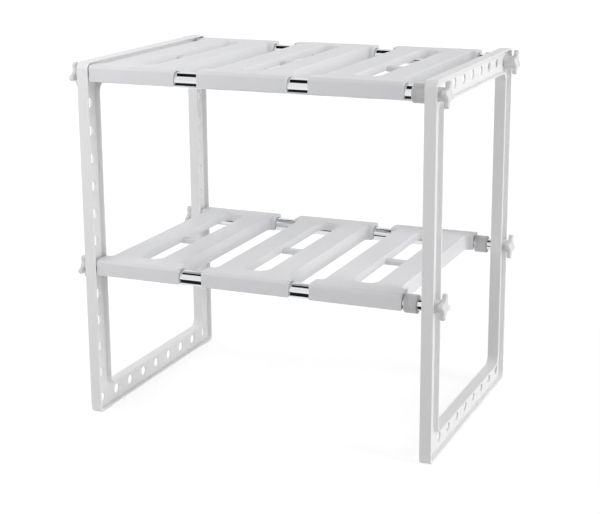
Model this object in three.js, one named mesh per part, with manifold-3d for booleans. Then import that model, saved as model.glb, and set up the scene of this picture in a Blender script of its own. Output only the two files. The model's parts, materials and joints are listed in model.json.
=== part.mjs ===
// An expandable two-tier storage rack: two white end frames joined by four
// telescoping chromed rails, with three clip-on shelf panels on each tier.
// Millimetres, +X along the shelves, +Y to the back, +Z up, floor at Z = 0.

import * as THREE from 'three';
import { mergeVertices } from 'three/addons/utils/BufferGeometryUtils.js';
import Module from 'manifold-3d';

const wasm = await Module();
wasm.setup();

// Driving dimensions: rails
const railDiameter = 16;
const railWall = 1;
const slideClearance = 0.5; // between the sliding tube and the bore of its rail

// Driving dimensions: end frames
const rackLength = 390; // over the outer faces of the end frames, pushed together
const frameDepth = 272;
const frameHeight = 385;
const webThickness = 2;
const recessDepth = 5.25; // of the channel on each side of the web
const flangeThickness = 2;
const channelClearance = 2.5; // from a rail to the flanges beside it
const frameCornerRadius = 8;
const windowCornerRadius = 9;
const footHeight = 1;
const footLength = 24;
const footRadius = 5;
const rowPitch = 29.75; // from one height setting to the next
const tierRows = 7; // settings between the two tiers
const beamHoles = 7; // holes in a beam between the legs

// Driving dimensions: collars, plugs and guides in and on the tube ends
const collarLength = 13.3;
const collarWall = 1.35;
const collarLip = 3; // end wall of the collar, which guides the sliding tube
const topCollarGap = 0.8; // from the collar to the frame beside it
const lowerCollarGap = 6.6;
const plugLength = 17;
const plugNoseWall = 1.75;
const guideLength = 10;
const guideSpigot = 12;
const guideGap = 2; // from the guide to the clamp screw it meets, pushed together
const fitClearance = 0.15; // all round pieces that are pushed together
const seatClearance = 0.2; // between faces that rest on each other

// Driving dimensions: clamp screws and knobs
const studDiameter = 6;
const studInPlug = 18; // reach of the stud from the web into the plug
const studClearance = 0.25;
const hubClearance = 3.7; // from the knob's hub to the flanges beside it
const knobStandoff = 4.5; // from the frame's outer face to the arms
const armThickness = 5;
const knobCap = 1.3; // wall between the knob's bore and its outer face
const knobDiameter = 27; // over opposite arms
const armCount = 4;
const armRadius = 3; // of an arm's round tip
const valleyRadius = 7;
const armLean = 17; // degrees from level down to the first arm, screwed tight

// Driving dimensions: shelf panels
const panelPlaces = ['left', 'middle', 'right'];
const panelGap = 24.6; // between neighbouring panels
const middlePanelShift = 2; // of the middle panel from the centre of its space
const panelEndGap = 0.3; // from the left panel to the frame
const panelRailEnd = 21.4; // bare rail between the right panel and the frame
const plateRise = 11.4; // from the rail's axis to the top of the plate
const plateThickness = 2.5;
const lipDrop = 5.8; // from the rail's axis to the lower edge of the panel
const clipClearance = 0.35;
const clipWall = 2;
const noseRadius = 4;
const clipInset = 8; // the plate is narrower than its clips by this on each side
const shoulderRadius = 4;
const skirtThickness = 2.2;
const slotWidth = 27;
const slotMargin = 5.6; // from the clips to the ends of the slot
const slotCornerRadius = 10;
const rimThickness = 2;
const rimDepth = 9;
const barWidthInSlot = 10;
const barDepth = 5; // from the top of the plate to the top of the bar
const barHeight = 5;

// Numbers of sides of the round pieces
const tubeSides = 20;
const innerSides = 12; // of plugs, guides, studs, hubs and holes
const arcSteps = 2; // half the number of steps in one arc of an outline
const knobSteps = 3; // the same for the knobs
const clipArcs = 3; // arcs that follow one another round a rail
const leastRadius = 1; // of an inner corner
const cutOvershoot = 1;

// Sizes that follow
const slidingDiameter = railDiameter - 2 * railWall - 2 * slideClearance;
const slidingBore = slidingDiameter - 2 * railWall;
const railBore = railDiameter - 2 * railWall;
const noseDiameter = studDiameter + 2 * studClearance + 2 * plugNoseWall;
const holeDiameter = noseDiameter + 2 * studClearance;
const frameThickness = webThickness + 2 * recessDepth;
const channelWidth = railDiameter + 2 * channelClearance;
const barWidth = channelWidth + 2 * flangeThickness;
const hubDiameter = channelWidth - 2 * hubClearance;
const outerFace = rackLength / 2;
const innerFace = outerFace - frameThickness;
const webInner = innerFace + recessDepth;
const webOuter = webInner + webThickness;
const railY = frameDepth / 2 - barWidth / 2;
const lowestRow = footHeight + barWidth / 2;
const rowCount = 1 + Math.floor((frameHeight - footHeight - barWidth) / rowPitch);
const rowHeight = (row) => lowestRow + row * rowPitch;
const railHeights = { top: rowHeight(rowCount - 1), lower: rowHeight(rowCount - 1 - tierRows) };
const collarGaps = { top: topCollarGap, lower: lowerCollarGap };
const clipRadius = railDiameter / 2 + clipClearance;
const clipReach = clipRadius + clipWall; // from the rail's axis to the panel's outer face
const screwReach = Math.max(studInPlug, plugLength + seatClearance); // inwards from the web
const tubeEnd = -webInner + screwReach + guideGap + guideLength + seatClearance;
const panelSpace = 2 * innerFace - panelEndGap - panelRailEnd;
const panelCount = panelPlaces.length;
const panelWidth = (panelSpace - (panelCount - 1) * panelGap) / panelCount;
const clipInnerY = railY - clipReach; // inner face of the clips
const slotHalfLength = clipInnerY - slotMargin;

// Finishes
const whitePlastic = { color: 0xf1f1f2, roughness: 0.42, metalness: 0 };
const whiteFrame = { color: 0xf4f4f4, roughness: 0.45, metalness: 0 };
const greyPlastic = { color: 0xa3a5a8, roughness: 0.5, metalness: 0 };
const chrome = { color: 0xdfe1e4, roughness: 0.08, metalness: 1 };
const zincSteel = { color: 0xb9bcc0, roughness: 0.35, metalness: 1 };

// Turns a closed surface into a solid that can be joined and cut.
function solid(geometry) {
  const bare = geometry.clone();
  bare.deleteAttribute('normal');
  bare.deleteAttribute('uv');
  const merged = mergeVertices(bare);
  return new wasm.Manifold(new wasm.Mesh({
    numProp: 3,
    vertProperties: merged.attributes.position.array,
    triVerts: Uint32Array.from(merged.index.array),
  }));
}

// Turns a solid back into a surface.
function geometryOf(body) {
  const mesh = body.getMesh();
  const geometry = new THREE.BufferGeometry();
  geometry.setAttribute('position', new THREE.BufferAttribute(mesh.vertProperties, 3));
  geometry.setIndex(new THREE.BufferAttribute(mesh.triVerts, 1));
  geometry.computeVertexNormals();
  return geometry;
}

// A named mesh with a material of its own.
function piece(name, geometry, finish) {
  const mesh = new THREE.Mesh(geometry, new THREE.MeshStandardMaterial(finish));
  mesh.name = name;
  return mesh;
}

// Extrudes an outline drawn in (Y, Z) along X.
function extrudeAlongX(outline, start, end, steps = arcSteps) {
  const geometry = new THREE.ExtrudeGeometry(outline, {
    depth: end - start,
    bevelEnabled: false,
    curveSegments: steps,
  });
  const turn = new THREE.Matrix4().makeBasis(
    new THREE.Vector3(0, 1, 0),
    new THREE.Vector3(0, 0, 1),
    new THREE.Vector3(1, 0, 0),
  );
  return geometry.applyMatrix4(turn).translate(start, 0, 0);
}

// Extrudes an outline drawn in (X, Y) upwards.
function extrudeUp(outline, start, end) {
  const geometry = new THREE.ExtrudeGeometry(outline, {
    depth: end - start,
    bevelEnabled: false,
    curveSegments: arcSteps,
  });
  return geometry.translate(0, 0, start);
}

// A box between two corners.
function block(low, high) {
  const size = high.map((value, axis) => value - low[axis]);
  const middle = high.map((value, axis) => (value + low[axis]) / 2);
  return new THREE.BoxGeometry(...size).translate(...middle);
}

// Turns a closed profile of [x, radius] points about the X axis. The points
// run from low x to high x on the outside and come back along the bore.
function turned(profile, sides) {
  const points = profile.map(([x, radius]) => new THREE.Vector2(radius, x));
  points.push(points[0].clone());
  return new THREE.LatheGeometry(points, sides).rotateZ(-Math.PI / 2).rotateX(Math.PI / sides);
}

// A rounded rectangle, added to a shape or to a hole of one.
function roundedRectangle(path, low, high, radius) {
  const quarter = Math.PI / 2;
  path.moveTo(low[0] + radius, low[1]);
  path.absarc(high[0] - radius, low[1] + radius, radius, -quarter, 0, false);
  path.absarc(high[0] - radius, high[1] - radius, radius, 0, quarter, false);
  path.absarc(low[0] + radius, high[1] - radius, radius, quarter, 2 * quarter, false);
  path.absarc(low[0] + radius, low[1] + radius, radius, 2 * quarter, 3 * quarter, false);
  path.closePath();
  return path;
}

// End frame: a closed loop of H-section bar with a row of holes all round.

function frameOutline() {
  const half = frameDepth / 2;
  const quarter = Math.PI / 2;
  const outline = new THREE.Shape();
  outline.moveTo(-half + footRadius, 0);
  outline.lineTo(-half + footLength, 0);
  outline.lineTo(-half + footLength + footHeight, footHeight);
  outline.lineTo(half - footLength - footHeight, footHeight);
  outline.lineTo(half - footLength, 0);
  outline.absarc(half - footRadius, footRadius, footRadius, -quarter, 0, false);
  const topCentre = frameHeight - frameCornerRadius;
  outline.absarc(half - frameCornerRadius, topCentre, frameCornerRadius, 0, quarter, false);
  outline.absarc(-half + frameCornerRadius, topCentre, frameCornerRadius, quarter, 2 * quarter, false);
  outline.absarc(-half + footRadius, footRadius, footRadius, 2 * quarter, 3 * quarter, false);
  outline.closePath();
  outline.holes.push(frameWindow(0));
  return outline;
}

// The window inside the loop, larger all round by the given margin.
function frameWindow(margin) {
  const half = frameDepth / 2 - barWidth + margin;
  const low = footHeight + barWidth - margin;
  const high = frameHeight - barWidth + margin;
  return roundedRectangle(new THREE.Path(), [-half, low], [half, high], windowCornerRadius + margin);
}

// The channel between the two flanges, on one side of the web.
function channelOutline() {
  const half = frameDepth / 2 - flangeThickness;
  const low = footHeight + flangeThickness;
  const high = frameHeight - flangeThickness;
  const radius = Math.max(frameCornerRadius - flangeThickness, leastRadius);
  const outline = roundedRectangle(new THREE.Shape(), [-half, low], [half, high], radius);
  outline.holes.push(frameWindow(flangeThickness));
  return outline;
}

// Centres of all holes of a frame, as [y, z].
function frameHoles() {
  const centres = [];
  for (let row = 0; row < rowCount; row += 1) {
    centres.push([-railY, rowHeight(row)], [railY, rowHeight(row)]);
  }
  const step = (2 * railY) / (beamHoles + 1);
  for (let hole = 1; hole <= beamHoles; hole += 1) {
    const y = -railY + hole * step;
    centres.push([y, lowestRow], [y, frameHeight - barWidth / 2]);
  }
  return centres;
}

function frameGeometry() {
  const half = frameThickness / 2;
  const web = webThickness / 2;
  let frame = solid(extrudeAlongX(frameOutline(), -half, half));
  frame = frame.subtract(solid(extrudeAlongX(channelOutline(), -half - cutOvershoot, -web)));
  frame = frame.subtract(solid(extrudeAlongX(channelOutline(), web, half + cutOvershoot)));
  for (const [y, z] of frameHoles()) {
    const radius = holeDiameter / 2;
    const drill = new THREE.CylinderGeometry(radius, radius, frameThickness, innerSides);
    frame = frame.subtract(solid(drill.rotateZ(Math.PI / 2).translate(0, y, z)));
  }
  return geometryOf(frame);
}

// Rails and the pieces in their ends, all along the X axis.

function tubeGeometry(diameter, bore, start, end) {
  const outside = diameter / 2;
  const inside = bore / 2;
  return turned([[start, outside], [end, outside], [end, inside], [start, inside]], tubeSides);
}

// Grey collar on the open end of a rail: a sleeve with a lip that guides the sliding tube.
function collarGeometry(end) {
  const start = end - collarLength;
  const outside = railDiameter / 2 + fitClearance + collarWall;
  const sleeve = railDiameter / 2 + fitClearance;
  const lipBore = slidingDiameter / 2 + fitClearance;
  const seat = end - collarLip;
  return turned(
    [[start, outside], [end, outside], [end, lipBore], [seat, lipBore], [seat, sleeve], [start, sleeve]],
    tubeSides,
  );
}

// Threaded plug in the end of a tube, with a nose that sits in the hole of the web. The tube
// lies towards -X of the web here.
function plugGeometry(bore) {
  const outside = bore / 2 - fitClearance;
  const nose = noseDiameter / 2;
  const thread = studDiameter / 2 + studClearance;
  const shoulder = webInner - seatClearance;
  const tip = webOuter - seatClearance;
  const start = shoulder - plugLength;
  return turned(
    [[start, outside], [shoulder, outside], [shoulder, nose], [tip, nose], [tip, thread], [start, thread]],
    innerSides,
  );
}

// Guide on the inner end of a sliding tube, which runs in the bore of the rail.
function guideGeometry() {
  const head = slidingDiameter / 2 + slideClearance - fitClearance;
  const spigot = slidingBore / 2 - fitClearance;
  const bore = spigot - railWall;
  const face = tubeEnd - seatClearance;
  const start = face - guideLength;
  const end = tubeEnd + guideSpigot;
  return turned(
    [[start, head], [face, head], [face, spigot], [end, spigot], [end, bore], [start, bore]],
    innerSides,
  );
}

// Clamp screws, drawn at the right-hand frame.

const hubStart = webOuter + seatClearance;
const armStart = outerFace + knobStandoff;
const knobEnd = armStart + armThickness;
const knobBoreEnd = knobEnd - knobCap;

function studGeometry() {
  const radius = studDiameter / 2;
  const start = webInner - studInPlug;
  const end = knobBoreEnd - seatClearance;
  const geometry = new THREE.CylinderGeometry(radius, radius, end - start, innerSides);
  return geometry.rotateZ(Math.PI / 2).translate((start + end) / 2, 0, 0);
}

// Outline of the knob: arms with round tips, joined by hollow arcs that touch them.
function armOutline() {
  const reach = knobDiameter / 2 - armRadius;
  const pitch = (2 * Math.PI) / armCount;
  const across = reach * Math.sin(pitch / 2);
  const touch = armRadius + valleyRadius;
  const valleyReach = reach * Math.cos(pitch / 2) + Math.sqrt(touch * touch - across * across);
  const valleyAcross = valleyReach * Math.sin(pitch / 2);
  const spread = Math.atan2(valleyAcross, valleyReach * Math.cos(pitch / 2) - reach);
  const outline = new THREE.Shape();
  for (let arm = 0; arm < armCount; arm += 1) {
    const turn = arm * pitch - THREE.MathUtils.degToRad(armLean);
    const y = reach * Math.cos(turn);
    const z = reach * Math.sin(turn);
    outline.absarc(y, z, armRadius, turn - spread, turn + spread, false);
    const between = turn + pitch / 2;
    const valleyY = valleyReach * Math.cos(between);
    const valleyZ = valleyReach * Math.sin(between);
    const start = turn + spread + Math.PI;
    outline.absarc(valleyY, valleyZ, valleyRadius, start, turn + pitch - spread - Math.PI, true);
  }
  outline.closePath();
  return outline;
}

function knobGeometry() {
  const hub = hubDiameter / 2;
  const bore = studDiameter / 2 + studClearance;
  const arms = solid(extrudeAlongX(armOutline(), armStart, knobEnd, knobSteps));
  const stem = new THREE.CylinderGeometry(hub, hub, knobEnd - hubStart, innerSides);
  const drill = new THREE.CylinderGeometry(bore, bore, knobBoreEnd - hubStart + cutOvershoot, innerSides);
  stem.rotateZ(Math.PI / 2).translate((hubStart + knobEnd) / 2, 0, 0);
  drill.rotateZ(Math.PI / 2).translate((hubStart + knobBoreEnd - cutOvershoot) / 2, 0, 0);
  return geometryOf(arms.add(solid(stem)).subtract(solid(drill)));
}

// Shelf panel: a plate with a long slot, side skirts, and a hook along the front and the back that
// lies over a rail. At its ends the hook is closed to a clip that snaps round the rail. Drawn about
// its own centre, with Z = 0 at the axes of the rails.

// Section of the front clip in (Y, Z).
function clipOutline() {
  const lip = Math.asin(lipDrop / clipRadius);
  const outline = new THREE.Shape();
  const front = -railY - clipReach;
  outline.moveTo(front, plateRise - noseRadius);
  outline.lineTo(front, -lipDrop);
  const sweep = (Math.PI + 2 * lip) / clipArcs;
  for (let arc = 0; arc < clipArcs; arc += 1) {
    const turn = Math.PI + lip - arc * sweep;
    outline.absarc(-railY, 0, clipRadius, turn, turn - sweep, true);
  }
  outline.lineTo(-clipInnerY, -lipDrop);
  outline.lineTo(-clipInnerY, plateRise);
  outline.absarc(front + noseRadius, plateRise - noseRadius, noseRadius, Math.PI / 2, Math.PI, false);
  outline.closePath();
  return outline;
}

// Plan of the plate in (X, Y): as wide as the clips at both ends, narrower between them.
function plateOutline() {
  const wide = panelWidth / 2;
  const narrow = wide - clipInset;
  const end = railY + clipReach - noseRadius;
  const quarter = Math.PI / 2;
  const shoulder = clipInnerY - shoulderRadius;
  const outline = new THREE.Shape();
  outline.moveTo(-wide, -end);
  outline.lineTo(wide, -end);
  outline.lineTo(wide, -clipInnerY);
  outline.absarc(narrow + shoulderRadius, -shoulder, shoulderRadius, -quarter, -2 * quarter, true);
  outline.absarc(narrow + shoulderRadius, shoulder, shoulderRadius, 2 * quarter, quarter, true);
  outline.lineTo(wide, clipInnerY);
  outline.lineTo(wide, end);
  outline.lineTo(-wide, end);
  outline.lineTo(-wide, clipInnerY);
  outline.absarc(-narrow - shoulderRadius, shoulder, shoulderRadius, quarter, 0, true);
  outline.absarc(-narrow - shoulderRadius, -shoulder, shoulderRadius, 0, -quarter, true);
  outline.lineTo(-wide, -clipInnerY);
  outline.closePath();
  outline.holes.push(slotOutline(new THREE.Path(), 0));
  return outline;
}

// The slot, larger all round by the given margin.
function slotOutline(path, margin) {
  const x = slotWidth / 2 + margin;
  const y = slotHalfLength + margin;
  return roundedRectangle(path, [-x, -y], [x, y], slotCornerRadius + margin);
}

function panelGeometry() {
  const half = panelWidth / 2;
  const narrow = half - clipInset;
  const underside = plateRise - plateThickness;
  const clip = extrudeAlongX(clipOutline(), -half, half);
  let panel = solid(extrudeUp(plateOutline(), underside, plateRise));
  panel = panel.add(solid(clip)).add(solid(clip.clone().rotateZ(Math.PI)));
  const open = narrow - skirtThickness;
  const inside = clipInnerY - cutOvershoot;
  for (const [near, far] of [[-railY, -inside], [inside, railY]]) {
    panel = panel.subtract(solid(block([-open, near, -lipDrop - cutOvershoot], [open, far, underside])));
  }
  const skirtEnd = clipInnerY + clipWall / 2;
  for (const outside of [-narrow, narrow - skirtThickness]) {
    const low = [outside, -skirtEnd, -lipDrop];
    const high = [outside + skirtThickness, skirtEnd, underside + plateThickness / 2];
    panel = panel.add(solid(block(low, high)));
  }
  const rim = slotOutline(new THREE.Shape(), rimThickness);
  rim.holes.push(slotOutline(new THREE.Path(), 0));
  panel = panel.add(solid(extrudeUp(rim, plateRise - rimDepth, underside + plateThickness / 2)));
  const barTop = plateRise - barDepth;
  const x = slotWidth / 2 + rimThickness / 2;
  const y = barWidthInSlot / 2;
  const bar = block([-x, -y, barTop - barHeight], [x, y, barTop]);
  return geometryOf(panel.add(solid(bar)));
}

// Assembly

const rack = new THREE.Group();

for (const [side, sign] of [['left', -1], ['right', 1]]) {
  const frame = piece(`${side}_frame`, frameGeometry(), whiteFrame);
  frame.position.x = sign * (outerFace - frameThickness / 2);
  rack.add(frame);
}

// Centre of each panel along the rails, from the left-hand one to the right-hand one.
function panelCentre(place) {
  const first = -innerFace + panelEndGap + panelWidth / 2;
  const shift = place === 'middle' ? middlePanelShift : 0;
  return first + panelPlaces.indexOf(place) * (panelWidth + panelGap) + shift;
}

for (const tier of ['top', 'lower']) {
  const collarEnd = innerFace - collarGaps[tier];
  const railEnd = collarEnd - collarLip - seatClearance;
  for (const [row, sign] of [['front', -1], ['rear', 1]]) {
    const line = new THREE.Group();
    const name = `${tier}_${row}`;
    line.position.set(0, sign * railY, railHeights[tier]);
    const rail = tubeGeometry(railDiameter, railBore, -webInner + seatClearance, railEnd);
    const sliding = tubeGeometry(slidingDiameter, slidingBore, tubeEnd, webInner - seatClearance);
    line.add(piece(`${name}_rail`, rail, chrome));
    line.add(piece(`${name}_sliding_tube`, sliding, chrome));
    line.add(piece(`${name}_collar`, collarGeometry(collarEnd), greyPlastic));
    line.add(piece(`${name}_guide`, guideGeometry(), greyPlastic));
    for (const [side, bore, turn] of [['left', railBore, Math.PI], ['right', slidingBore, 0]]) {
      const screw = new THREE.Group();
      screw.rotation.z = turn;
      screw.add(piece(`${name}_${side}_plug`, plugGeometry(bore), whitePlastic));
      screw.add(piece(`${name}_${side}_stud`, studGeometry(), zincSteel));
      screw.add(piece(`${name}_${side}_knob`, knobGeometry(), whitePlastic));
      line.add(screw);
    }
    rack.add(line);
  }
  for (const place of panelPlaces) {
    const panel = piece(`${tier}_${place}_panel`, panelGeometry(), whitePlastic);
    panel.position.set(panelCentre(place), 0, railHeights[tier]);
    rack.add(panel);
  }
}

export default rack;
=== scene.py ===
"""Dresses an expandable two-tier storage rack: two white end frames of H-section bar, four telescoping
chromed rails, three clip-on shelf panels on each tier and a four-armed clamp screw at every rail end."""

import json
import logging
import math
from collections.abc import Callable, Sequence
from dataclasses import dataclass
from enum import Enum
from functools import partial
from typing import Any

import bmesh
import bpy
from bmesh.types import BMEdge, BMesh, BMVert
from mathutils import Matrix, Vector


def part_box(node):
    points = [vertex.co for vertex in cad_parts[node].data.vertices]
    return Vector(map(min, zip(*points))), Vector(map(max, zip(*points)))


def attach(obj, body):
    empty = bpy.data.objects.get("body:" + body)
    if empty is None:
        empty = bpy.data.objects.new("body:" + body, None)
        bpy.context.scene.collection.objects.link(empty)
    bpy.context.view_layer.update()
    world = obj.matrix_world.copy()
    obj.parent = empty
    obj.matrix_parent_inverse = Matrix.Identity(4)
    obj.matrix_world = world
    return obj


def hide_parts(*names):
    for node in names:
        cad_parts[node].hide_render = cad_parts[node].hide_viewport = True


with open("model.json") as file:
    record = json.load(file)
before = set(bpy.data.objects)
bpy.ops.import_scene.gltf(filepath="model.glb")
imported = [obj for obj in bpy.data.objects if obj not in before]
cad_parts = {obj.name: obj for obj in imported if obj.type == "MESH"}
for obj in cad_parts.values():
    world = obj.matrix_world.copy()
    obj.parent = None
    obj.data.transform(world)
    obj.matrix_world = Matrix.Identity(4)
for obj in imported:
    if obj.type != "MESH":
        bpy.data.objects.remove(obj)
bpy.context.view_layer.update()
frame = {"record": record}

MILLIMETRE = 0.001  # pieces are drawn in millimetres and placed in metres
WELD = 1e-3  # points nearer than this, in millimetres, become one

Pair = tuple[float, float]
Triple = tuple[float, float, float]
Edges = list[BMEdge]
Settings = dict[str, Any] | None
Inputs = dict[str | int, Any] | None

logging.basicConfig(level=logging.INFO, format="%(name)s: %(message)s")
log = logging.getLogger("rack")


class Side(Enum):
    """The two ends of the rack."""

    LEFT = "left"
    RIGHT = "right"


class Tier(Enum):
    """The two shelves."""

    TOP = "top"
    LOWER = "lower"


class Row(Enum):
    """The rails of one shelf."""

    FRONT = "front"
    REAR = "rear"


class Place(Enum):
    """The panels of one shelf."""

    LEFT = "left"
    MIDDLE = "middle"
    RIGHT = "right"


RAILS = tuple(f"{tier.value}_{row.value}" for tier in Tier for row in Row)


class Plane(Enum):
    """Planes that outlines are drawn in, by the axes of u, of v and across the plane."""

    ACROSS = (1, 2, 0)
    LEVEL = (0, 1, 2)
    ALONG = (0, 2, 1)

    def point(self, u: float, v: float, height: float = 0.0) -> Vector:
        """Finds the point at u and v of the plane at a height."""
        along = dict(zip(self.value, (u, v, height)))
        return Vector([along[axis] for axis in range(3)])

    @property
    def normal(self) -> Vector:
        """The axis about which a positive turn runs from u to v."""
        return self.point(1.0, 0.0).cross(self.point(0.0, 1.0))


class Signal:
    """An output socket of a shader, on which values can be worked out in plain arithmetic."""

    def __init__(self, shader: "Shader", socket: bpy.types.NodeSocket) -> None:
        """Wraps a socket of a shader."""
        self.shader = shader
        self.socket = socket

    def _maths(self, operation: str, first: "Signal | float", second: "Signal | float") -> "Signal":
        """Adds a Math node of two values."""
        return self.shader.signal("ShaderNodeMath", {"operation": operation}, {0: first, 1: second})

    def __add__(self, other: "Signal | float") -> "Signal":
        """Sums two values."""
        return self._maths("ADD", self, other)

    __radd__ = __add__

    def __sub__(self, other: "Signal | float") -> "Signal":
        """Takes a value from this one."""
        return self._maths("SUBTRACT", self, other)

    def __rsub__(self, other: float) -> "Signal":
        """Takes this value from a number."""
        return self._maths("SUBTRACT", other, self)

    def __mul__(self, other: "Signal | float") -> "Signal":
        """Multiplies two values."""
        return self._maths("MULTIPLY", self, other)

    __rmul__ = __mul__

    def larger(self, other: "Signal | float") -> "Signal":
        """Keeps the larger of two values."""
        return self._maths("MAXIMUM", self, other)


class Shader:
    """The node tree of a material or of the world."""

    def __init__(self, owner: bpy.types.Material | bpy.types.World) -> None:
        """Empties a node tree.

        Args:
            owner: What it belongs to.
        """
        owner.use_nodes = True
        self.tree = owner.node_tree
        self.tree.nodes.clear()

    def node(self, kind: str, settings: Settings = None, inputs: Inputs = None) -> bpy.types.Node:
        """Adds one node.

        Args:
            kind: Type of the node.
            settings: Its own settings, which are set first.
            inputs: Values or signals for its sockets, by name or number.

        Returns:
            The node.
        """
        made = self.tree.nodes.new(kind)
        for key, value in (settings or {}).items():
            setattr(made, key, value)
        for key, value in (inputs or {}).items():
            if isinstance(value, Signal):
                self.tree.links.new(value.socket, made.inputs[key])
            else:
                made.inputs[key].default_value = value
        return made

    def signal(
        self, kind: str, settings: Settings = None, inputs: Inputs = None, output: str | int = 0
    ) -> Signal:
        """Adds one node and takes its output of a name or number."""
        return Signal(self, self.node(kind, settings, inputs).outputs[output])

    def blend(self, share: Signal, first: Triple, second: Triple) -> Signal:
        """Mixes two colours by the share that the second one has, from 0 to 1."""
        inputs = {0: share, 6: (*first, 1.0), 7: (*second, 1.0)}
        return self.signal("ShaderNodeMix", {"data_type": "RGBA"}, inputs, output=2)

    def noise(self, place: Signal, scale: float, detail: float = 2.0) -> Signal:
        """Adds a noise of 0 to 1 at so many cells a metre."""
        return self.signal("ShaderNodeTexNoise", {}, {"Vector": place, "Scale": scale, "Detail": detail})

    def matt(self, colour: Triple) -> Signal:
        """Adds a matt surface of one colour."""
        return self.signal("ShaderNodeBsdfDiffuse", {}, {"Color": (*colour, 1.0)})

    def seen(self) -> Signal:
        """Finds where the camera looks, straight or by way of a mirror or glass.

        Returns:
            1 for such rays and 0 for the rays that light things.
        """
        path = self.node("ShaderNodeLightPath")
        camera, mirror, glass = (
            Signal(self, path.outputs[name])
            for name in ("Is Camera Ray", "Is Glossy Ray", "Is Transmission Ray")
        )
        return camera.larger(mirror).larger(glass)


@dataclass(frozen=True)
class Finish:
    """A surface that pieces are given, and the slot of the record that it belongs to."""

    name: str
    slot: str
    colour: Triple
    shade: Triple
    roughness: float

    def surface(self, shader: Shader, place: Signal) -> Signal:
        """Adds the nodes of the surface, which reads the place on the piece in metres."""
        raise NotImplementedError

    def material(self) -> bpy.types.Material:
        """Makes the material of the finish.

        Returns:
            The material.
        """
        made = bpy.data.materials.new(self.name)
        shader = Shader(made)
        place = shader.signal("ShaderNodeTexCoord", output="Object")
        shader.node("ShaderNodeOutputMaterial", {}, {"Surface": self.surface(shader, place)})
        made.diffuse_color = (*self.colour, 1.0)
        return made


@dataclass(frozen=True)
class MouldedPlastic(Finish):
    """Satin moulded plastic: a fine matt grain from the mould, with faint clouds where the melt ran."""

    clouds: float = 16.0  # a metre
    cloud_detail: float = 4.0
    cloud_gloss: float = 0.16
    grains: float = 1300.0  # a metre
    grain_depth: float = 0.00003
    grain_relief: float = 0.35
    grain_gloss: float = 0.1
    refraction: float = 1.49

    def surface(self, shader: Shader, place: Signal) -> Signal:
        """Adds the nodes of the plastic.

        Args:
            shader: Node tree to fill.
            place: Coordinates on the piece, in metres.

        Returns:
            The shader that goes to the output.
        """
        cloud = shader.noise(place, self.clouds, self.cloud_detail)
        grain = shader.noise(place, self.grains)
        rough = self.roughness + self.cloud_gloss * (cloud - 0.5) + self.grain_gloss * (grain - 0.5)
        relief = {"Strength": self.grain_relief, "Distance": self.grain_depth, "Height": grain}
        inputs = {
            "Base Color": shader.blend(cloud, self.colour, self.shade),
            "Roughness": rough,
            "IOR": self.refraction,
            "Normal": shader.signal("ShaderNodeBump", {}, relief),
        }
        return shader.signal("ShaderNodeBsdfPrincipled", {}, inputs)


@dataclass(frozen=True)
class BrightPlate(Finish):
    """Plated steel: fine lines along the tube from drawing, and faint smears in the polish."""

    lines: Triple = (6.0, 1500.0, 1500.0)  # cells a metre along each axis
    line_gloss: float = 0.03
    smears: float = 30.0  # a metre
    smear_detail: float = 3.0
    smear_gloss: float = 0.05

    def surface(self, shader: Shader, place: Signal) -> Signal:
        """Adds the nodes of the plating.

        Args:
            shader: Node tree to fill.
            place: Coordinates on the piece, in metres.

        Returns:
            The shader that goes to the output.
        """
        drawn = shader.signal("ShaderNodeVectorMath", {"operation": "MULTIPLY"}, {0: place, 1: self.lines})
        line = shader.noise(drawn, 1.0)
        smear = shader.noise(place, self.smears, self.smear_detail)
        rough = self.roughness + self.line_gloss * line + self.smear_gloss * smear
        inputs = {
            "Base Color": shader.blend(smear, self.colour, self.shade),
            "Metallic": 1.0,
            "Roughness": rough,
        }
        return shader.signal("ShaderNodeBsdfPrincipled", {}, inputs)


WHITE_FRAME = MouldedPlastic("white_frame_plastic", "white_frame", (0.9, 0.9, 0.9), (0.87, 0.87, 0.87), 0.42)
WHITE_PANEL = MouldedPlastic(
    "white_panel_plastic", "white_plastic", (0.82, 0.82, 0.84), (0.79, 0.79, 0.81), 0.4
)
# painted shade: the knob's copy of the white plastic is a touch darker than the panels', so that its strongly
# lit outer face still stands off the white background
WHITE_KNOB = MouldedPlastic("white_knob_plastic", "white_plastic", (0.8, 0.8, 0.8), (0.77, 0.77, 0.77), 0.4)
GREY_COLLAR = MouldedPlastic(
    "grey_collar_plastic", "grey_plastic", (0.68, 0.68, 0.69), (0.63, 0.63, 0.64), 0.48
)
CHROME = BrightPlate("chrome_plate", "chrome", (0.8, 0.81, 0.82), (0.72, 0.73, 0.75), 0.03)
ZINC = BrightPlate("zinc_plate", "zinc_steel", (0.6, 0.62, 0.65), (0.5, 0.5, 0.49), 0.3)


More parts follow.
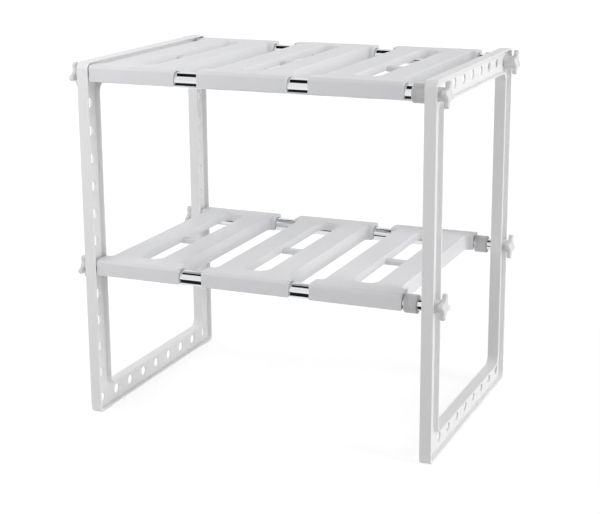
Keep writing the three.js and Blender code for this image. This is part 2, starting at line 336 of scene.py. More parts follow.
class Outline:
    """A line of edges drawn in one plane, side by side and arc by arc."""

    def __init__(self, bm: BMesh, plane: Plane, height: float, u: float, v: float) -> None:
        """Sets the first point.

        Args:
            bm: Mesh to draw in.
            plane: Plane that it lies in.
            height: Distance of that plane from the origin.
            u: First coordinate of the point.
            v: Second coordinate of the point.
        """
        self.bm = bm
        self.plane = plane
        self.height = height
        self.first: BMVert = bm.verts.new(plane.point(u, v, height))
        self.last: BMVert = self.first
        self.edges: Edges = []

    def _grow(self) -> BMVert:
        """Adds an edge of no length at the end.

        Returns:
            Its new point.
        """
        grown = bmesh.ops.extrude_vert_indiv(self.bm, verts=[self.last])
        self.last = grown["verts"][0]
        self.edges += grown["edges"]
        return self.last

    def line(self, u: float, v: float) -> "Outline":
        """Draws a straight side to the point at u and v, and returns this outline."""
        self._grow().co = self.plane.point(u, v, self.height)
        return self

    def arc(self, u: float, v: float, sweep: float, steps: int) -> "Outline":
        """Draws an arc about a centre.

        Args:
            u: First coordinate of the centre.
            v: Second coordinate of the centre.
            sweep: Angle of the arc in degrees, positive from u to v.
            steps: Number of its edges.

        Returns:
            This outline.
        """
        turn = Matrix.Rotation(math.radians(sweep) / steps, 3, self.plane.normal)
        centre = self.plane.point(u, v, self.height)
        for _ in range(steps):
            bmesh.ops.rotate(self.bm, cent=centre, matrix=turn, verts=[self._grow()])
        return self

    def close(self) -> Edges:
        """Joins the end to the start, and returns all edges of the outline."""
        self.edges.append(self.bm.edges.new((self.last, self.first)))
        return self.edges

    def close_arc(self, u: float, v: float, sweep: float, steps: int) -> Edges:
        """Draws a last arc that ends at the start, and returns all edges of the outline."""
        return self.arc(u, v, sweep * (steps - 1) / steps, steps - 1).close()


def rounded_rectangle(
    bm: BMesh, plane: Plane, height: float, low: Pair, high: Pair, radius: float, steps: int
) -> Edges:
    """Draws a rectangle with round corners.

    Args:
        bm: Mesh to draw in.
        plane: Plane that it lies in.
        height: Distance of that plane from the origin.
        low: Its lowest corner.
        high: Its highest corner.
        radius: Radius of its corners.
        steps: Number of edges in a corner.

    Returns:
        Its edges.
    """
    inner_low = (low[0] + radius, low[1] + radius)
    inner_high = (high[0] - radius, high[1] - radius)
    line = Outline(bm, plane, height, inner_low[0], low[1])
    line.line(inner_high[0], low[1]).arc(inner_high[0], inner_low[1], 90.0, steps)
    line.line(high[0], inner_high[1]).arc(inner_high[0], inner_high[1], 90.0, steps)
    line.line(inner_low[0], high[1]).arc(inner_low[0], inner_high[1], 90.0, steps)
    line.line(low[0], inner_low[1])
    return line.close_arc(inner_low[0], inner_low[1], 90.0, steps)


def edges_of(verts: Sequence[BMVert]) -> Edges:
    """Finds all edges at some points."""
    return list({edge for vert in verts for edge in vert.link_edges})


def ring(bm: BMesh, x: float, y: float, z: float, radius: float, sides: int) -> Edges:
    """Draws a circle of so many sides about an axis along X, with its centre at a place."""
    turn = Matrix.Translation((x, y, z)) @ Matrix.Rotation(math.pi / 2, 4, "Y")
    return edges_of(bmesh.ops.create_circle(bm, segments=sides, radius=radius, matrix=turn)["verts"])


def bridge(bm: BMesh, *loops: Edges) -> None:
    """Joins each closed loop to the next one, which has as many edges, with a wall."""
    for near, far in zip(loops, loops[1:]):
        bmesh.ops.bridge_loops(bm, edges=near + far)


def fill(bm: BMesh, *loops: Edges) -> None:
    """Fills a flat face between an outer loop and the loops inside it."""
    edges = [edge for loop in loops for edge in loop]
    bmesh.ops.triangle_fill(bm, use_beauty=True, use_dissolve=False, edges=edges)


def pull(bm: BMesh, edges: Edges, shift: Triple) -> Edges:
    """Pulls a strip of wall out of some edges.

    Args:
        bm: Mesh that holds them.
        edges: The edges.
        shift: How far they are pulled.

    Returns:
        The edges at the far side of the strip.
    """
    grown = bmesh.ops.extrude_edge_only(bm, edges=edges)["geom"]
    points = [part for part in grown if isinstance(part, BMVert)]
    bmesh.ops.translate(bm, vec=shift, verts=points)
    return [part for part in grown if isinstance(part, BMEdge) and all(v in points for v in part.verts)]


def turned(profile: Sequence[Pair], sides: int) -> BMesh:
    """Turns a profile about the X axis. It runs from the axis to the axis, or else right round a bore.

    Args:
        profile: Points of the profile as (x, radius).
        sides: Number of sides of the turned piece.

    Returns:
        The closed mesh.
    """
    bm = bmesh.new()
    line = Outline(bm, Plane.ALONG, 0.0, *profile[0])
    for x, radius in profile[1:]:
        line.line(x, radius)
    if profile[0][1] > 0.0:
        line.close()
    parts = bm.verts[:] + bm.edges[:]
    bmesh.ops.spin(bm, geom=parts, axis=(1.0, 0.0, 0.0), angle=math.tau, steps=sides, use_merge=True)
    finish_skin(bm)
    return bm


def finish_skin(bm: BMesh) -> None:
    """Welds the seams of a closed skin and turns its faces outwards."""
    bmesh.ops.remove_doubles(bm, verts=bm.verts[:], dist=WELD)
    bmesh.ops.recalc_face_normals(bm, faces=bm.faces[:])


def sharp_edges(bm: BMesh, least: float = 50.0) -> Edges:
    """Finds the outer edges that turn by more than an angle in degrees."""
    outer = [edge for edge in bm.edges if edge.is_manifold and edge.is_convex]
    return [edge for edge in outer if edge.calc_face_angle() > math.radians(least)]


def round_edges(bm: BMesh, edges: Edges, radius: float, steps: int = 3) -> None:
    """Rounds edges to a radius, with so many faces across."""
    shape = {"affect": "EDGES", "segments": steps, "profile": 0.5, "material": -1}
    bmesh.ops.bevel(bm, geom=edges, offset=radius, **shape)


def sweep(bm: BMesh, edges: Edges, centre: Triple, angle: float, steps: int) -> Edges:
    """Sweeps a curved strip of wall out of some edges, about an axis along X.

    Args:
        bm: Mesh that holds them.
        edges: The edges.
        centre: A point of the axis.
        angle: Angle of the sweep in degrees, positive from Y to Z.
        steps: Number of faces along it.

    Returns:
        The edges at the far side of the strip.
    """
    points = list({vert for edge in edges for vert in edge.verts})
    turn = {"axis": (1.0, 0.0, 0.0), "angle": math.radians(angle), "steps": steps}
    grown = bmesh.ops.spin(bm, geom=points + edges, cent=centre, **turn)
    return [part for part in grown["geom_last"] if isinstance(part, BMEdge)]


def open_edges(bm: BMesh) -> Edges:
    """Finds the edges that still have a free side."""
    return [edge for edge in bm.edges if len(edge.link_faces) < 2]


def nearest(bm: BMesh, place: Triple) -> BMVert:
    """Finds the point of a mesh that is nearest to a place."""
    return min(bm.verts, key=lambda vert: (vert.co - Vector(place)).length)


def beyond(edge: BMEdge, radius: float) -> bool:
    """Tells whether an edge lies beyond a radius from the X axis."""
    return all(vert.co.yz.length > radius + WELD for vert in edge.verts)


def make_object(bm: BMesh, name: str, material: bpy.types.Material) -> bpy.types.Object:
    """Makes a mesh an object of the scene.

    Args:
        bm: The mesh, in metres. It is used up.
        name: Name of the object.
        material: Its material.

    Returns:
        The object.
    """
    mesh = bpy.data.meshes.new(name)
    bm.to_mesh(mesh)
    bm.free()
    mesh.materials.append(material)
    made = bpy.data.objects.new(name, mesh)
    bpy.context.scene.collection.objects.link(made)
    return made


class Bench:
    """Takes finished meshes and sets them up as pieces of the rack."""

    smooth_limit = math.radians(38.0)  # a steeper edge stays sharp

    def __init__(self, bodies: dict[str, list[str]]) -> None:
        """Notes which body each node is on, from the nodes of each body."""
        self.body_of = {node: body for body, nodes in bodies.items() for node in nodes}
        self.materials: dict[Finish, bpy.types.Material] = {}

    @staticmethod
    def box(node: str) -> tuple[Vector, Vector]:
        """Gives the lowest and highest corners of a node in millimetres."""
        low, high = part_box(node)
        return low / MILLIMETRE, high / MILLIMETRE

    def place(self, bm: BMesh, node: str, finish: Finish, shift: Triple) -> None:
        """Makes a mesh the piece that stands for a node.

        Args:
            bm: The mesh, in millimetres. It is used up.
            node: Name of the node.
            finish: Finish of the piece.
            shift: How far the mesh is moved to its place.
        """
        bmesh.ops.translate(bm, vec=shift, verts=bm.verts[:])
        bmesh.ops.scale(bm, vec=(MILLIMETRE,) * 3, verts=bm.verts[:])
        if finish not in self.materials:
            self.materials[finish] = finish.material()
        piece = make_object(bm, f"{node}_made", self.materials[finish])
        piece.data.shade_smooth()
        piece.data.set_sharp_from_angle(angle=self.smooth_limit)
        piece.modifiers.new("even_faces", "WEIGHTED_NORMAL").keep_sharp = True
        body = self.body_of[node]
        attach(piece, body)
        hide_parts(node)
        faces = len(piece.data.polygons)
        log.info("%s: %d faces in %s, rides on %s", piece.name, faces, finish.name, body)

    def place_turned(
        self, node: str, finish: Finish, shape: Callable[[float, float], BMesh], outwards: bool = True
    ) -> None:
        """Makes a turned piece on the axis of a rail.

        Args:
            node: Node that it stands for.
            finish: Finish of the piece.
            shape: Builds its mesh between two places along X.
            outwards: Whether it is drawn from the rack's middle outwards, and turned round for the left end.
        """
        low, high = self.box(node)
        bm = shape(*(sorted((abs(low.x), abs(high.x))) if outwards else (low.x, high.x)))
        if outwards and high.x < 0.0:
            bmesh.ops.rotate(bm, matrix=Matrix.Rotation(math.pi, 3, "Z"), verts=bm.verts[:])
        self.place(bm, node, finish, (0.0, (low.y + high.y) / 2, (low.z + high.z) / 2))


@dataclass
class EndFrame:
    """A closed loop of H-section bar with a row of holes all round and a pad under each leg."""

    bench: Bench
    depth: float = 272.0
    height: float = 385.0
    thickness: float = 12.5
    web: float = 2.0
    bar: float = 25.0
    flange: float = 2.0
    corner_radius: float = 8.0
    window_radius: float = 9.0
    pad_height: float = 1.0
    pad_length: float = 24.0
    pad_radius: float = 5.0
    hole_radius: float = 5.25
    row_pitch: float = 29.75
    row_count: int = 13
    beam_holes: int = 7
    edge_radius: float = 0.7
    hole_edge: float = 0.5
    corner_steps: int = 6
    hole_sides: int = 28

    def loop(self, bm: BMesh, x: float, inset: float) -> Edges:
        """Draws the outside of the frame down to its pads, or with an inset the outer edge of the channel.

        Args:
            bm: Mesh to draw in.
            x: Place along X.
            inset: How far inside the outside it is.

        Returns:
            Its edges, with a point at each end of both pads.
        """
        half, high = self.depth / 2 - inset, self.height - self.corner_radius
        corner = self.corner_radius - inset
        low, rise, foot = 0.0, self.pad_height, self.pad_radius
        if inset:
            low, rise, foot = self.pad_height + inset, 0.0, corner
        pad = self.depth / 2 - self.pad_length
        line = Outline(bm, Plane.ACROSS, x, -half + foot, low)
        line.line(-pad, low).line(-pad + self.pad_height, low + rise)
        line.line(pad - self.pad_height, low + rise).line(pad, low)
        line.line(half - foot, low).arc(half - foot, low + foot, 90.0, self.corner_steps)
        line.line(half, high).arc(half - corner, high, 90.0, self.corner_steps)
        line.line(-half + corner, high + corner).arc(-half + corner, high, 90.0, self.corner_steps)
        line.line(-half, low + foot)
        return line.close_arc(-half + foot, low + foot, 90.0, self.corner_steps)

    def window(self, bm: BMesh, x: float, margin: float) -> Edges:
        """Draws the window.

        Args:
            bm: Mesh to draw in.
            x: Place along X.
            margin: How much larger it is all round.

        Returns:
            Its edges.
        """
        half = self.depth / 2 - self.bar + margin
        low = (-half, self.pad_height + self.bar - margin)
        high = (half, self.height - self.bar + margin)
        radius = self.window_radius + margin
        return rounded_rectangle(bm, Plane.ACROSS, x, low, high, radius, self.corner_steps)

    def hole_centres(self) -> list[Pair]:
        """Finds the holes of the legs and the beams.

        Returns:
            Their centres as (y, z).
        """
        half = self.depth / 2 - self.bar / 2
        low = self.pad_height + self.bar / 2
        legs = [(y, low + row * self.row_pitch) for row in range(self.row_count) for y in (-half, half)]
        step = 2 * half / (self.beam_holes + 1)
        high = self.height - self.bar / 2
        return legs + [(-half + step * (n + 1), z) for n in range(self.beam_holes) for z in (low, high)]

    def mesh(self) -> BMesh:
        """Builds the frame about X = 0.

        Returns:
            The closed mesh.
        """
        bm = bmesh.new()
        outside, windows, holes = [], [], []
        for x, web in ((-self.thickness / 2, -self.web / 2), (self.thickness / 2, self.web / 2)):
            places = ((x, 0.0), (x, self.flange), (web, self.flange))
            outer, channel, floor = (self.loop(bm, *place) for place in places)
            window, inner, inner_floor = (self.window(bm, *place) for place in places)
            rings = [ring(bm, web, y, z, self.hole_radius, self.hole_sides) for y, z in self.hole_centres()]
            bridge(bm, outer, channel, floor)
            bridge(bm, window, inner, inner_floor)
            fill(bm, floor, inner_floor, *rings)
            outside.append(outer)
            windows.append(window)
            holes.append(rings)
        bridge(bm, *outside)
        bridge(bm, *windows)
        for near, far in zip(*holes):
            bridge(bm, near, far)
        finish_skin(bm)
        reach = self.web / 2 + WELD
        sharp = sharp_edges(bm)
        rims = [edge for edge in sharp if all(abs(vert.co.x) < reach for vert in edge.verts)]
        flanges = [edge for edge in sharp if edge not in rims]
        round_edges(bm, flanges, self.edge_radius)
        round_edges(bm, [edge for edge in rims if edge.is_valid], self.hole_edge)
        return bm

    def build(self) -> None:
        """Makes both frames and sets them in place."""
        master = self.mesh()
        for side in Side:
            node = f"{side.value}_frame"
            low, high = self.bench.box(node)
            self.bench.place(master.copy(), node, WHITE_FRAME, ((low.x + high.x) / 2, 0.0, 0.0))
        master.free()


@dataclass
class ShelfPanel:
    """A plate with a long rimmed slot, side skirts, a cross bar and a hook over each rail that is closed to a
    clip at both its ends. It is drawn about its own centre, with Z = 0 at the axes of the rails."""

    bench: Bench
    width: float = 98.033
    rail_y: float = 123.5
    plate_rise: float = 11.4
    plate_thickness: float = 2.5
    lip_drop: float = 5.8
    clip_radius: float = 8.35
    clip_wall: float = 2.0
    nose_radius: float = 4.0
    clip_inset: float = 8.0
    shoulder_radius: float = 4.0
    skirt: float = 2.2
    slot_width: float = 27.0
    slot_margin: float = 5.6
    slot_radius: float = 10.0
    rim: float = 2.0
    rim_depth: float = 9.0
    cross_bar: Triple = (29.0, 10.0, 5.0)
    cross_bar_drop: float = 5.0
    edge_radius: float = 0.7
    corner_steps: int = 6
    clip_steps: int = 24

    @property
    def reach(self) -> float:
        """Distance of a clip's outer and inner faces from the axis of its rail."""
        return self.clip_radius + self.clip_wall

    @property
    def mouth(self) -> float:
        """Distance of the edges of a clip's mouth from the axis of its rail."""
        return math.sqrt(self.clip_radius**2 - self.lip_drop**2)

    @property
    def open_half(self) -> float:
        """Half the width between the skirts, where the hooks are open inside."""
        return self.width / 2 - self.clip_inset - self.skirt

    @property
    def ceiling(self) -> float:
        """Height of the plate's underside."""
        return self.plate_rise - self.plate_thickness

    def plan(self, bm: BMesh) -> Edges:
        """Draws the plan of the plate's top, as wide as the clips at both ends and narrower between them.

        Args:
            bm: Mesh to draw in.

        Returns:
            Its edges.
        """
        wide, narrow = self.width / 2, self.width / 2 - self.clip_inset
        end = self.rail_y + self.reach - self.nose_radius
        inner, radius = self.rail_y - self.reach, self.shoulder_radius
        line = Outline(bm, Plane.LEVEL, self.plate_rise, -wide, -end)
        for sign in (1.0, -1.0):
            line.line(-sign * self.open_half, -sign * end).line(sign * self.open_half, -sign * end)
            line.line(sign * wide, -sign * end).line(sign * wide, -sign * inner)
            line.line(sign * (narrow + radius), -sign * inner)
            line.arc(sign * (narrow + radius), -sign * (inner - radius), -90.0, self.corner_steps)
            line.line(sign * narrow, sign * (inner - radius))
            line.arc(sign * (narrow + radius), sign * (inner - radius), -90.0, self.corner_steps)
            line.line(sign * wide, sign * inner)
            if sign > 0:
                line.line(wide, end)
        return line.close()

    def clip(self, bm: BMesh, front: Edges) -> None:
        """Draws the front hook down from the front edges of the plan, and a turned copy for the rear.

        Args:
            bm: Mesh to draw in.
            front: Front edges of the plan.
        """
        before = set(bm.faces)
        end = self.rail_y + self.reach - self.nose_radius
        drop = self.plate_rise - self.nose_radius
        edges = sweep(bm, front, (0.0, -end, drop), 90.0, self.corner_steps)
        edges = pull(bm, edges, (0.0, 0.0, -drop - self.lip_drop))
        edges = pull(bm, edges, (0.0, self.reach - self.mouth, 0.0))
        lip = math.degrees(math.asin(self.lip_drop / self.clip_radius))
        axis = (0.0, -self.rail_y, 0.0)
        edges = sweep(bm, edges, axis, -90.0 - lip, self.clip_steps // 2)
        middle = [edge for edge in edges if abs(sum(vert.co.x for vert in edge.verts)) < self.open_half]
        sweep(bm, [edge for edge in edges if edge not in middle], axis, -90.0 - lip, self.clip_steps // 2)
        pull(bm, middle, (0.0, 0.0, self.ceiling - self.clip_radius))
        sheet = [face for face in bm.faces if face not in before]
        copied = bmesh.ops.duplicate(bm, geom=sheet)["geom"]
        points = [part for part in copied if isinstance(part, BMVert)]
        bmesh.ops.rotate(bm, matrix=Matrix.Rotation(math.pi, 3, "Z"), verts=points)
        bmesh.ops.remove_doubles(bm, verts=bm.verts[:], dist=WELD)

    def underside(self, bm: BMesh) -> None:
        """Draws the lower edges of skirts and clips, and the plate's underside between the skirts.

        Args:
            bm: Mesh to draw in.
        """
        wide, inner, low = self.width / 2, self.rail_y - self.reach, -self.lip_drop
        mouth = self.rail_y - self.mouth
        for sign in (-1.0, 1.0):
            ends = [((sign * wide, y * mouth, low), (sign * wide, y * inner, low)) for y in (-1.0, 1.0)]
            for x, y, z in ((self.open_half, mouth, low), (self.open_half, self.rail_y, self.ceiling)):
                ends.append(((sign * x, -y, z), (sign * x, y, z)))
            for pair in ends:
                bmesh.ops.contextual_create(bm, geom=[nearest(bm, end) for end in pair])
            side = [
                edge
                for edge in open_edges(bm)
                if all(abs(v.co.z - low) < WELD and sign * v.co.x > self.open_half - WELD for v in edge.verts)
            ]
            fill(bm, [edge for edge in side if all(abs(v.co.y) < mouth + WELD for v in edge.verts)])
        fill(bm, [e for e in open_edges(bm) if all(abs(v.co.z - self.ceiling) < WELD for v in e.verts)])

    def outer_edges(self, bm: BMesh) -> Edges:
        """Finds the edges to be rounded: all outer ones but those of a hook's bore between the skirts.

        Args:
            bm: Mesh of the panel.

        Returns:
            The edges.
        """

        def in_bore(vert: BMVert) -> bool:
            """Tells whether a point lies on the wall of a bore between the skirts."""
            away = math.hypot(abs(vert.co.y) - self.rail_y, vert.co.z)
            return abs(away - self.clip_radius) < WELD and abs(vert.co.x) < self.open_half + WELD

        lip = -self.lip_drop + WELD
        return [
            edge
            for edge in sharp_edges(bm)
            if not all(map(in_bore, edge.verts)) or all(vert.co.z < lip for vert in edge.verts)
        ]

    def slot(self, bm: BMesh, margin: float, height: float) -> Edges:
        """Draws the slot.

        Args:
            bm: Mesh to draw in.
            margin: How much larger it is all round.
            height: Its height.

        Returns:
            Its edges.
        """
        x = self.slot_width / 2 + margin
        y = self.rail_y - self.reach - self.slot_margin + margin
        radius = self.slot_radius + margin
        return rounded_rectangle(bm, Plane.LEVEL, height, (-x, -y), (x, y), radius, self.corner_steps)

    def mesh(self) -> BMesh:
        """Builds the panel.

        Returns:
            The closed mesh.
        """
        bm = bmesh.new()
        plan = self.plan(bm)
        inner = self.rail_y - self.reach
        sides = [edge for edge in plan if all(abs(v.co.y) < inner + WELD for v in edge.verts)]
        front = [edge for edge in plan if all(v.co.y < -inner - WELD for v in edge.verts)]
        pull(bm, sides, (0.0, 0.0, -self.plate_rise - self.lip_drop))
        self.clip(bm, front)
        low = self.plate_rise - self.rim_depth
        mouth, rim_low = self.slot(bm, 0.0, self.plate_rise), self.slot(bm, 0.0, low)
        rim_outer = self.slot(bm, self.rim, low)
        rim = self.slot(bm, self.rim, self.ceiling)
        top = [e for e in open_edges(bm) if all(abs(v.co.z - self.plate_rise) < WELD for v in e.verts)]
        fill(bm, top)
        bridge(bm, mouth, rim_low, rim_outer, rim)
        self.underside(bm)
        bmesh.ops.holes_fill(bm, edges=open_edges(bm), sides=0)
        finish_skin(bm)
        round_edges(bm, self.outer_edges(bm), self.edge_radius)
        self.bar(bm)
        return bm

    def bar(self, bm: BMesh) -> None:
        """Adds the bar that crosses the slot, with its ends in the rim.

        Args:
            bm: Mesh of the panel.
        """
        height = self.plate_rise - self.cross_bar_drop - self.cross_bar[2] / 2
        turn = Matrix.Translation((0.0, 0.0, height)) @ Matrix.Diagonal((*self.cross_bar, 1.0))
        made = bmesh.ops.create_cube(bm, size=1.0, matrix=turn)["verts"]
        round_edges(bm, edges_of(made), self.edge_radius)

    def build(self) -> None:
        """Makes the six panels and sets them in place."""
        master = self.mesh()
        for tier in Tier:
            for place in Place:
                node = f"{tier.value}_{place.value}_panel"
                low, high = self.bench.box(node)
                shift = ((low.x + high.x) / 2, 0.0, high.z - self.plate_rise)
                self.bench.place(master.copy(), node, WHITE_PANEL, shift)
        master.free()


@dataclass
class TelescopicRail:
    """An outer tube, the tube that slides in it, the collar on the outer tube's open end, the guide on the
    sliding tube's inner end, and a threaded plug in each end at the frames."""

    bench: Bench
    rail_radius: float = 8.0
    sliding_radius: float = 6.5
    wall: float = 1.0
    fit: float = 0.15
    collar_wall: float = 1.35
    collar_lip: float = 3.0
    groove: float = 0.35
    groove_width: float = 0.8
    groove_slope: float = 0.2
    groove_places: Pair = (2.2, 4.2)  # from the start of the sleeve
    guide_head: float = 10.0
    waist_place: float = 3.0  # from both ends of the head
    waist: float = 0.4
    plug_nose: float = 2.0
    plug_nose_radius: float = 5.0
    thread_radius: float = 3.25
    end_radius: float = 0.25
    collar_edge: float = 0.6
    steep: float = 70.0  # degrees, more than a groove's or a waist's edges turn by
    sides: int = 64

    def tube(self, start: float, end: float, radius: float) -> BMesh:
        """Turns a tube.

        Args:
            start: Where it begins along X.
            end: Where it ends.
            radius: Its outer radius.

        Returns:
            The closed mesh.
        """
        bore = radius - self.wall
        bm = turned([(start, radius), (end, radius), (end, bore), (start, bore)], self.sides)
        round_edges(bm, sharp_edges(bm), self.end_radius)
        return bm

    def collar(self, start: float, end: float) -> BMesh:
        """Turns a collar: a sleeve with two shallow grooves and a lip round the sliding tube.

        Args:
            start: Where the sleeve begins along X.
            end: Where the lip ends.

        Returns:
            The closed mesh.
        """
        sleeve = self.rail_radius + self.fit
        outside = sleeve + self.collar_wall
        bore = self.sliding_radius + self.fit
        seat = end - self.collar_lip
        profile = [(start, outside)]
        floor = outside - self.groove
        for near in (start + place for place in self.groove_places):
            far = near + self.groove_width
            profile += [(near, outside), (near + self.groove_slope, floor)]
            profile += [(far - self.groove_slope, floor), (far, outside)]
        profile += [(end, outside), (end, bore), (seat, bore), (seat, sleeve), (start, sleeve)]
        bm = turned(profile, self.sides)
        outer = [edge for edge in sharp_edges(bm, self.steep) if beyond(edge, sleeve)]
        round_edges(bm, outer, self.collar_edge)
        return bm

    def guide(self, start: float, end: float) -> BMesh:
        """Turns a guide: a split head that fills the rail, and a spigot in the sliding tube.

        Args:
            start: Where the head begins along X.
            end: Where the spigot ends.

        Returns:
            The closed mesh.
        """
        head = self.rail_radius - self.wall - self.fit
        spigot = self.sliding_radius - self.wall - self.fit
        bore = spigot - self.wall
        face = start + self.guide_head
        near, far = start + self.waist_place, face - self.waist_place
        waist = [(near + self.waist, head - self.waist), (far - self.waist, head - self.waist)]
        profile = [(start, head), (near, head), *waist, (far, head), (face, head)]
        profile += [(face, spigot), (end, spigot), (end, bore), (start, bore)]
        bm = turned(profile, self.sides)
        round_edges(bm, sharp_edges(bm, self.steep), self.end_radius)
        return bm

    def plug(self, start: float, end: float, radius: float) -> BMesh:
        """Turns a plug with a nose that sits in the hole of the frame.

        Args:
            start: Where the plug begins, as a distance outwards along X.
            end: Where the nose ends.
            radius: Bore of the tube that holds it.

        Returns:
            The closed mesh.
        """
        outside, shoulder, nose = radius - self.fit, end - self.plug_nose, self.plug_nose_radius
        profile = [(start, outside), (shoulder, outside), (shoulder, nose), (end, nose)]
        bm = turned([*profile, (end, self.thread_radius), (start, self.thread_radius)], self.sides)
        round_edges(bm, sharp_edges(bm), self.end_radius)
        return bm

    def build(self) -> None:
        """Makes the four rails and sets them in place."""
        shapes = {
            "rail": (partial(self.tube, radius=self.rail_radius), CHROME),
            "sliding_tube": (partial(self.tube, radius=self.sliding_radius), CHROME),
            "collar": (self.collar, GREY_COLLAR),
            "guide": (self.guide, GREY_COLLAR),
        }
        for rail in RAILS:
            for name, (shape, finish) in shapes.items():
                self.bench.place_turned(f"{rail}_{name}", finish, shape, outwards=False)
            for side, radius in ((Side.LEFT, self.rail_radius), (Side.RIGHT, self.sliding_radius)):
                plug = partial(self.plug, radius=radius - self.wall)
                self.bench.place_turned(f"{rail}_{side.value}_plug", WHITE_PANEL, plug)


@dataclass
class ClampScrew:
    """A threaded stud and the four-armed knob on it."""

    bench: Bench
    stud_radius: float = 3.0
    thread_depth: float = 0.45
    thread_pitch: float = 1.0
    crest: Pair = (0.4, 0.55)  # where it starts and ends, as shares of the pitch
    stud_tip: float = 0.3
    hub_radius: float = 6.8
    bore_radius: float = 3.25
    bore_depth: float = 13.25
    arm_thickness: float = 5.0
    knob_radius: float = 13.5
    arms: int = 4
    tip_radius: float = 3.0
    tip_steps: int = 12
    valley_radius: float = 7.0
    valley_steps: int = 8
    lean: float = 17.0  # degrees from level down to the first arm, screwed tight
    dish_radius: float = 4.6
    dish_depth: float = 0.6
    dish_slope: float = 1.2
    face_edge: float = 1.5
    back_edge: float = 1.0
    edge_steps: int = 4
    small_edge: float = 0.3
    sides: int = 48

    def stud(self, start: float, end: float) -> BMesh:
        """Turns a stud with a thread.

        Args:
            start: Where it begins, as a distance outwards along X.
            end: Where it ends.

        Returns:
            The closed mesh.
        """
        root, pitch = self.stud_radius - self.thread_depth, self.thread_pitch
        profile = [(start, 0.0), (start, root)]
        for turn in range(int((end - start - pitch) / pitch)):
            x = start + pitch * (turn + 0.5)
            profile += [(x, root), *((x + share * pitch, self.stud_radius) for share in self.crest)]
        profile += [(end - self.stud_tip, root), (end, root - self.stud_tip), (end, 0.0)]
        return turned(profile, self.sides // 2)

    def arm_outline(self, bm: BMesh, x: float) -> Edges:
        """Draws arms with round tips, joined by hollow arcs that touch them.

        Args:
            bm: Mesh to draw in.
            x: Place along X.

        Returns:
            Its edges.
        """
        reach, pitch = self.knob_radius - self.tip_radius, math.tau / self.arms
        touch, across = self.tip_radius + self.valley_radius, reach * math.sin(pitch / 2)
        valley = reach * math.cos(pitch / 2) + math.sqrt(touch**2 - across**2)
        spread = math.atan2(valley * math.sin(pitch / 2), valley * math.cos(pitch / 2) - reach)
        tip_sweep, valley_sweep = math.degrees(2 * spread), math.degrees(pitch - 2 * spread)
        first = -math.radians(self.lean)
        tip = Vector((reach * math.cos(first), reach * math.sin(first)))
        side = Vector((math.cos(first - spread), math.sin(first - spread)))
        line = Outline(bm, Plane.ACROSS, x, *(tip + self.tip_radius * side))
        for arm in range(self.arms):
            turn = first + arm * pitch
            between = turn + pitch / 2
            line.arc(reach * math.cos(turn), reach * math.sin(turn), tip_sweep, self.tip_steps)
            centre = (valley * math.cos(between), valley * math.sin(between))
            hollow = (*centre, valley_sweep, self.valley_steps)
            if arm < self.arms - 1:
                line.arc(*hollow)
        return line.close_arc(*hollow)

    def knob(self, start: float, end: float) -> BMesh:
        """Builds a knob with a round hub towards the frame and a shallow dish in its face.

        Args:
            start: Where the hub begins, as a distance outwards along X.
            end: Where the arms end.

        Returns:
            The closed mesh.
        """
        bm = bmesh.new()
        back = end - self.arm_thickness
        face_loop, back_loop = self.arm_outline(bm, end), self.arm_outline(bm, back)
        circles = (
            (back, self.hub_radius),
            (start, self.hub_radius),
            (start, self.bore_radius),
            (start + self.bore_depth, self.bore_radius),
            (end, self.dish_radius),
            (end - self.dish_depth, self.dish_radius - self.dish_slope),
        )
        hub, hub_end, bore, bore_end, dish, dish_floor = (
            ring(bm, x, 0.0, 0.0, radius, self.sides) for x, radius in circles
        )
        fill(bm, face_loop, dish)
        bridge(bm, dish, dish_floor)
        bridge(bm, face_loop, back_loop)
        fill(bm, back_loop, hub)
        bridge(bm, hub, hub_end, bore, bore_end)
        bmesh.ops.holes_fill(bm, edges=open_edges(bm), sides=0)
        finish_skin(bm)
        sharp = sharp_edges(bm)
        rims = ((end, self.face_edge, self.dish_radius), (back, self.back_edge, self.hub_radius))
        for x, radius, least in rims:
            outer = [edge for edge in sharp if edge.is_valid and beyond(edge, least)]
            rim = [edge for edge in outer if all(abs(vert.co.x - x) < WELD for vert in edge.verts)]
            round_edges(bm, rim, radius, self.edge_steps)
        small = [e for e in sharp_edges(bm) if all(v.co.x < start + WELD for v in e.verts)]
        round_edges(bm, small, self.small_edge)
        return bm

    def build(self) -> None:
        """Makes the eight clamp screws and sets them in place."""
        for rail in RAILS:
            for side in Side:
                self.bench.place_turned(f"{rail}_{side.value}_stud", ZINC, self.stud)
                self.bench.place_turned(f"{rail}_{side.value}_knob", WHITE_KNOB, self.knob)


@dataclass
class Viewpoint:
    """The camera, at the angle of the photograph."""

    place: Triple = (595.25, -1400.23, 578.22)
    yaw: float = 0.4036
    pitch: float = 0.2466
    roll: float = -0.0069
    focal: float = 85.70
    sensor: float = 36.0
    shift: float = -0.05
    sight: float = 50.0

    def build(self) -> None:
        """Makes the camera and looks through it."""
        camera = bpy.data.cameras.new("viewpoint")
        camera.sensor_width = self.sensor
        camera.lens = self.focal
        camera.shift_y = self.shift
        camera.clip_end = self.sight
        stand = bpy.data.objects.new("viewpoint", camera)
        bpy.context.scene.collection.objects.link(stand)
        turn = Matrix.Rotation(self.yaw, 4, "Z") @ Matrix.Rotation(math.pi / 2 - self.pitch, 4, "X")
        stand.matrix_world = (
            Matrix.Translation(Vector(self.place) * MILLIMETRE) @ turn @ Matrix.Rotation(self.roll, 4, "Z")
        )
        bpy.context.scene.camera = stand


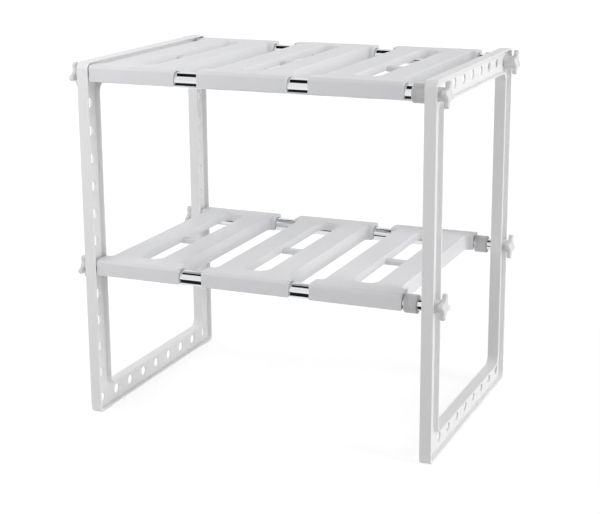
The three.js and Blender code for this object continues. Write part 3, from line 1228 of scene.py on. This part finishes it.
@dataclass(frozen=True)
class Lamp:
    """A soft square lamp that lights the rack and isn't seen itself, not in the chrome either."""

    name: str
    place: Triple
    power: float
    size: float = 0.8
    target: Triple = (0.0, 0.0, 0.2)

    def build(self) -> None:
        """Hangs the lamp and turns it to the rack."""
        light = bpy.data.lights.new(self.name, "AREA")
        light.energy = self.power
        light.size = self.size
        stand = bpy.data.objects.new(self.name, light)
        stand.location = self.place
        stand.rotation_euler = (Vector(self.place) - Vector(self.target)).to_track_quat("Z", "Y").to_euler()
        stand.visible_camera = False
        stand.visible_glossy = False
        bpy.context.scene.collection.objects.link(stand)


@dataclass
class Studio:
    """A white room with soft light: floor, sky, lamps and the dark cards that the chrome mirrors."""

    floor_size: float = 12.0
    floor_colour: Triple = (0.85, 0.85, 0.85)
    floor_tint: Triple = (0.3, 0.3, 0.3)
    floor_glow: Triple = (0.79, 0.79, 0.79)  # by the rack
    far_glow: Triple = (0.93, 0.93, 0.93)  # further out
    glow_range: Pair = (0.3, 1.5)  # metres from the rack's middle
    sky: float = 0.34
    lamps: tuple[Lamp, ...] = (
        Lamp("right_lamp", (7.2, -0.6, 2.3), 129.0, 2.4),
        Lamp("low_right_lamp", (4.5, -0.3, 0.5), 33.0, 2.4),
        Lamp("high_lamp", (5.4, 0.0, 5.0), 114.0, 2.4),
        Lamp("left_lamp", (-0.5, -0.5, 0.7), 3.0),
        Lamp("left_rear_lamp", (-1.3, 0.5, 0.7), 6.5),
    )
    card_colour: Triple = (0.02, 0.02, 0.02)
    card_width: float = 7.0
    card_places: tuple[tuple[str, float, float, float], ...] = (
        ("studio_roof_card", 2.6, -1.6, 0.9),
        ("studio_floor_card", 0.002, -0.6, -0.15),
    )

    def floor(self) -> None:
        """Lays the floor: white to the eye apart from the rack's shadow, and pale to the light."""
        bm = bmesh.new()
        bmesh.ops.create_grid(bm, x_segments=1, y_segments=1, size=self.floor_size / 2)
        made = bpy.data.materials.new("studio_floor")
        shader = Shader(made)
        tint = shader.matt(self.floor_tint)
        place = shader.signal("ShaderNodeTexCoord", output="Object")
        away = shader.signal("ShaderNodeVectorMath", {"operation": "LENGTH"}, {0: place}, output="Value")
        near, far = self.glow_range
        share = shader.signal("ShaderNodeMapRange", {}, {"Value": away, "From Min": near, "From Max": far})
        colour = shader.blend(share, self.floor_glow, self.far_glow)
        glow = shader.signal("ShaderNodeEmission", {}, {"Color": colour})
        looked_at = shader.signal("ShaderNodeAddShader", {}, {0: tint, 1: glow})
        lit = shader.matt(self.floor_colour)
        surface = shader.signal("ShaderNodeMixShader", {}, {0: shader.seen(), 1: lit, 2: looked_at})
        shader.node("ShaderNodeOutputMaterial", {}, {"Surface": surface})
        make_object(bm, "studio_floor", made)

    def light(self) -> None:
        """Sets the sky and the lamps."""
        scene = bpy.context.scene
        scene.view_settings.view_transform = "Standard"
        world = bpy.data.worlds.new("studio_sky")
        scene.world = world
        shader = Shader(world)
        strength = self.sky + (1.0 - self.sky) * shader.seen()
        inputs = {"Color": (1.0, 1.0, 1.0, 1.0), "Strength": strength}
        back = shader.signal("ShaderNodeBackground", {}, inputs)
        shader.node("ShaderNodeOutputWorld", {}, {"Surface": back})
        for lamp in self.lamps:
            lamp.build()

    def cards(self) -> None:
        """Hangs the dark cards, which only mirrors see."""
        made = bpy.data.materials.new("studio_card")
        shader = Shader(made)
        dark = shader.matt(self.card_colour)
        shader.node("ShaderNodeOutputMaterial", {}, {"Surface": dark})
        for name, height, front, back in self.card_places:
            bm = bmesh.new()
            place = Matrix.Translation((0.0, (front + back) / 2, height))
            shape = Matrix.Diagonal((self.card_width, back - front, 1.0, 1.0))
            bmesh.ops.create_grid(bm, x_segments=1, y_segments=1, size=0.5, matrix=place @ shape)
            card = make_object(bm, name, made)
            card.visible_camera = False
            card.visible_diffuse = False
            card.visible_shadow = False
            card.visible_transmission = False

    def build(self) -> None:
        """Sets up the room."""
        self.floor()
        self.light()
        self.cards()


def main() -> None:
    """Builds the rack piece by piece, then the room around it."""
    bench = Bench(frame["record"]["behaviour"]["bodies"])
    for assembly in (EndFrame(bench), TelescopicRail(bench), ClampScrew(bench), ShelfPanel(bench)):
        log.info("building %s", type(assembly).__name__)
        assembly.build()
    Studio().build()
    Viewpoint().build()
    bpy.context.view_layer.update()


if __name__ == "__main__":
    main()
